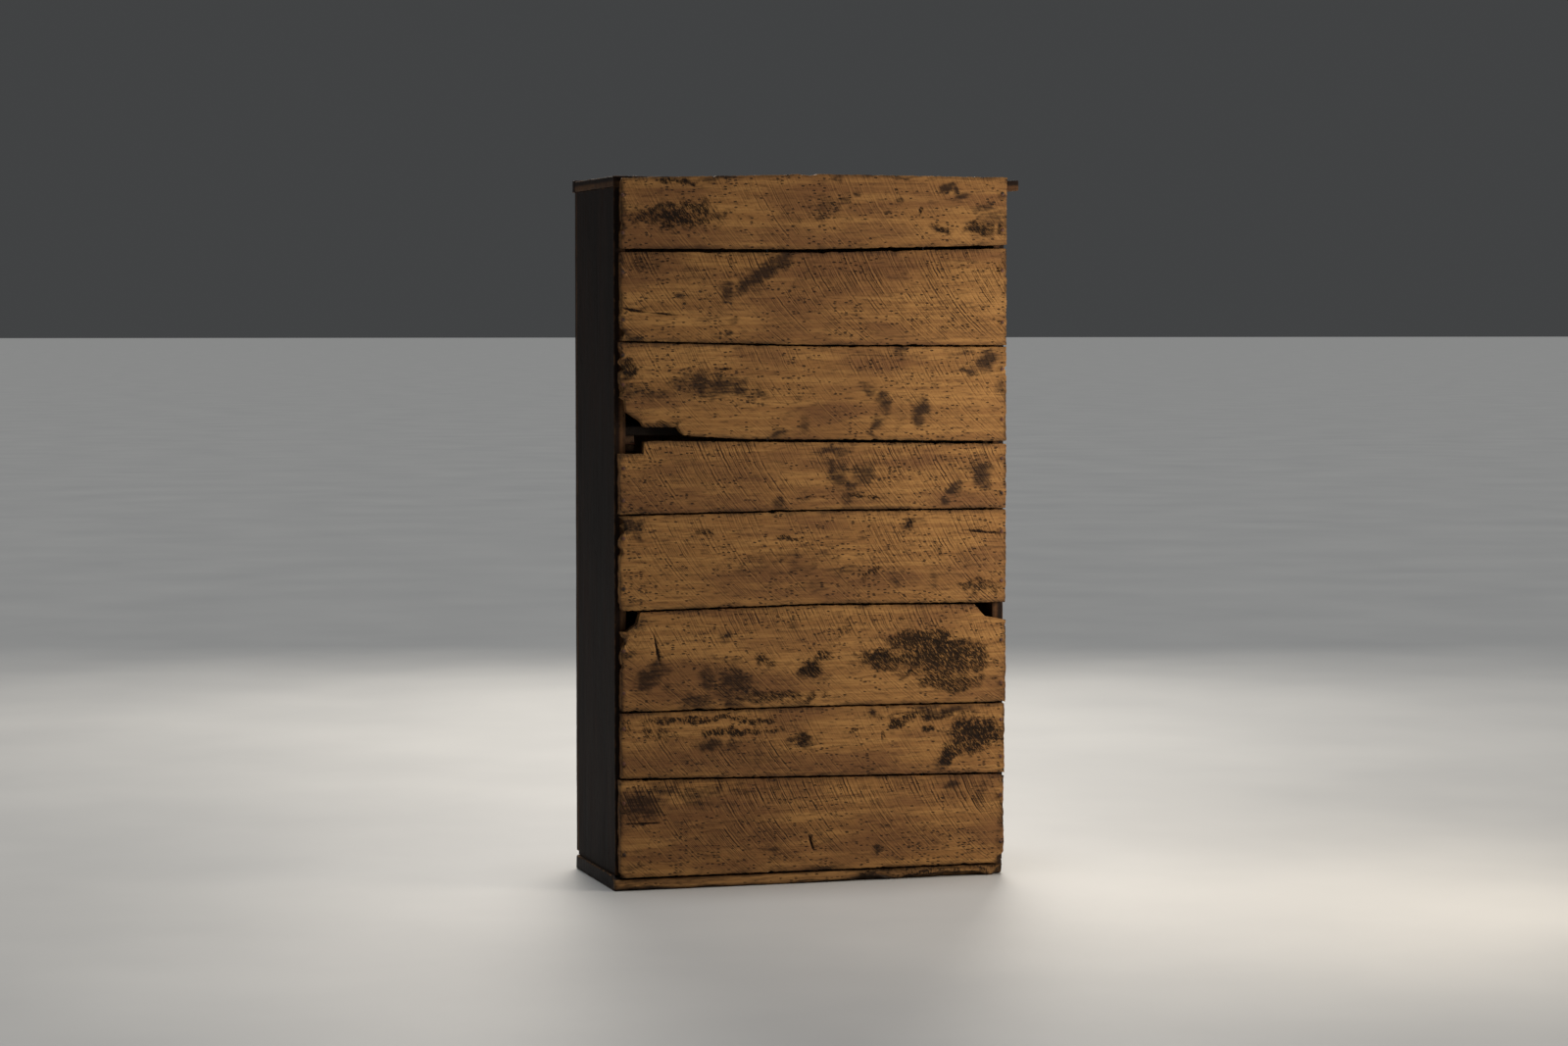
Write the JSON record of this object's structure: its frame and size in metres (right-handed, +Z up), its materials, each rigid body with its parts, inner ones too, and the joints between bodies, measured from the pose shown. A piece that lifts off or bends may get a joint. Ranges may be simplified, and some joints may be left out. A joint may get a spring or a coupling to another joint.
{
  "type": "cupboard",
  "caption": "Tall rustic board cupboard with rough nailed back planks, plank doors on iron strap hinges, inside shelves and a wooden turn button.",
  "frame": {"origin": "on the floor under the middle of the case, half way across the width over the sides", "axes": "+Z up; the doors face -Y and the back planks face +Y; +X is to the right of someone who faces the doors"},
  "size_m": [0.79, 0.3565, 1.317],
  "materials": {
    "rough_back_planks": "rough-sawn softwood, aged honey brown, dark saw marks and stains",
    "stained_boards": "planed boards with an old, nearly black brown stain, worn at the edges",
    "bare_inside_boards": "bare aged softwood, dry and dusty",
    "forged_iron": "hammered wrought iron, dark with a little rust",
    "hand_worn_wood": "dark wood polished by hands"
  },
  "bodies": {
    "case": {"back_plank_1": "rough_back_planks", "back_plank_2": "rough_back_planks", "back_plank_3": "rough_back_planks", "back_plank_4": "rough_back_planks", "back_plank_5": "rough_back_planks", "back_plank_6": "rough_back_planks", "back_plank_7": "rough_back_planks", "back_plank_8": "rough_back_planks", "back_plank_nails": "forged_iron", "base_board": "bare_inside_boards", "bottom_rail": "stained_boards", "button_screw": "forged_iron", "case_nails": "forged_iron", "frame_nails": "forged_iron", "frame_pegs": "stained_boards", "hinge_leaf_nails": "forged_iron", "hinge_pins": "forged_iron", "left_lower_leaf": "forged_iron", "left_side": "stained_boards", "left_stile": "stained_boards", "left_upper_leaf": "forged_iron", "lower_left_cleat": "bare_inside_boards", "lower_right_cleat": "bare_inside_boards", "lower_shelf": "bare_inside_boards", "right_lower_leaf": "forged_iron", "right_side": "stained_boards", "right_stile": "stained_boards", "right_upper_leaf": "forged_iron", "shelf_nails": "forged_iron", "top_board": "stained_boards", "top_nosing": "stained_boards", "top_rail": "stained_boards", "upper_left_cleat": "bare_inside_boards", "upper_right_cleat": "bare_inside_boards", "upper_shelf": "bare_inside_boards"},
    "left_door": {"left_door_batten_bottom": "bare_inside_boards", "left_door_batten_middle": "bare_inside_boards", "left_door_batten_top": "bare_inside_boards", "left_door_board_1": "stained_boards", "left_door_board_2": "stained_boards", "left_door_board_3": "stained_boards", "left_door_nails": "forged_iron", "left_knob": "hand_worn_wood", "left_lower_strap": "forged_iron", "left_strap_nails": "forged_iron", "left_upper_strap": "forged_iron"},
    "right_door": {"right_door_batten_bottom": "bare_inside_boards", "right_door_batten_middle": "bare_inside_boards", "right_door_batten_top": "bare_inside_boards", "right_door_board_1": "stained_boards", "right_door_board_2": "stained_boards", "right_door_board_3": "stained_boards", "right_door_nails": "forged_iron", "right_knob": "hand_worn_wood", "right_lower_strap": "forged_iron", "right_strap_nails": "forged_iron", "right_upper_strap": "forged_iron"},
    "turn_button": {"turn_button": "hand_worn_wood"}
  },
  "joints": [
    {"name": "left_door_hinge", "type": "hinge", "parent": "case", "child": "left_door", "pos_m": [-0.3165, -0.1585, 0.6525], "axis": [0, 0, -1], "range_deg": [0, 170]},
    {"name": "right_door_hinge", "type": "hinge", "parent": "case", "child": "right_door", "pos_m": [0.3165, -0.1585, 0.6525], "axis": [0, 0, 1], "range_deg": [0, 170]},
    {"name": "turn_button_pivot", "type": "hinge", "parent": "case", "child": "turn_button", "pos_m": [0, -0.16, 1.243], "axis": [0, -1, 0], "continuous": true}
  ]
}
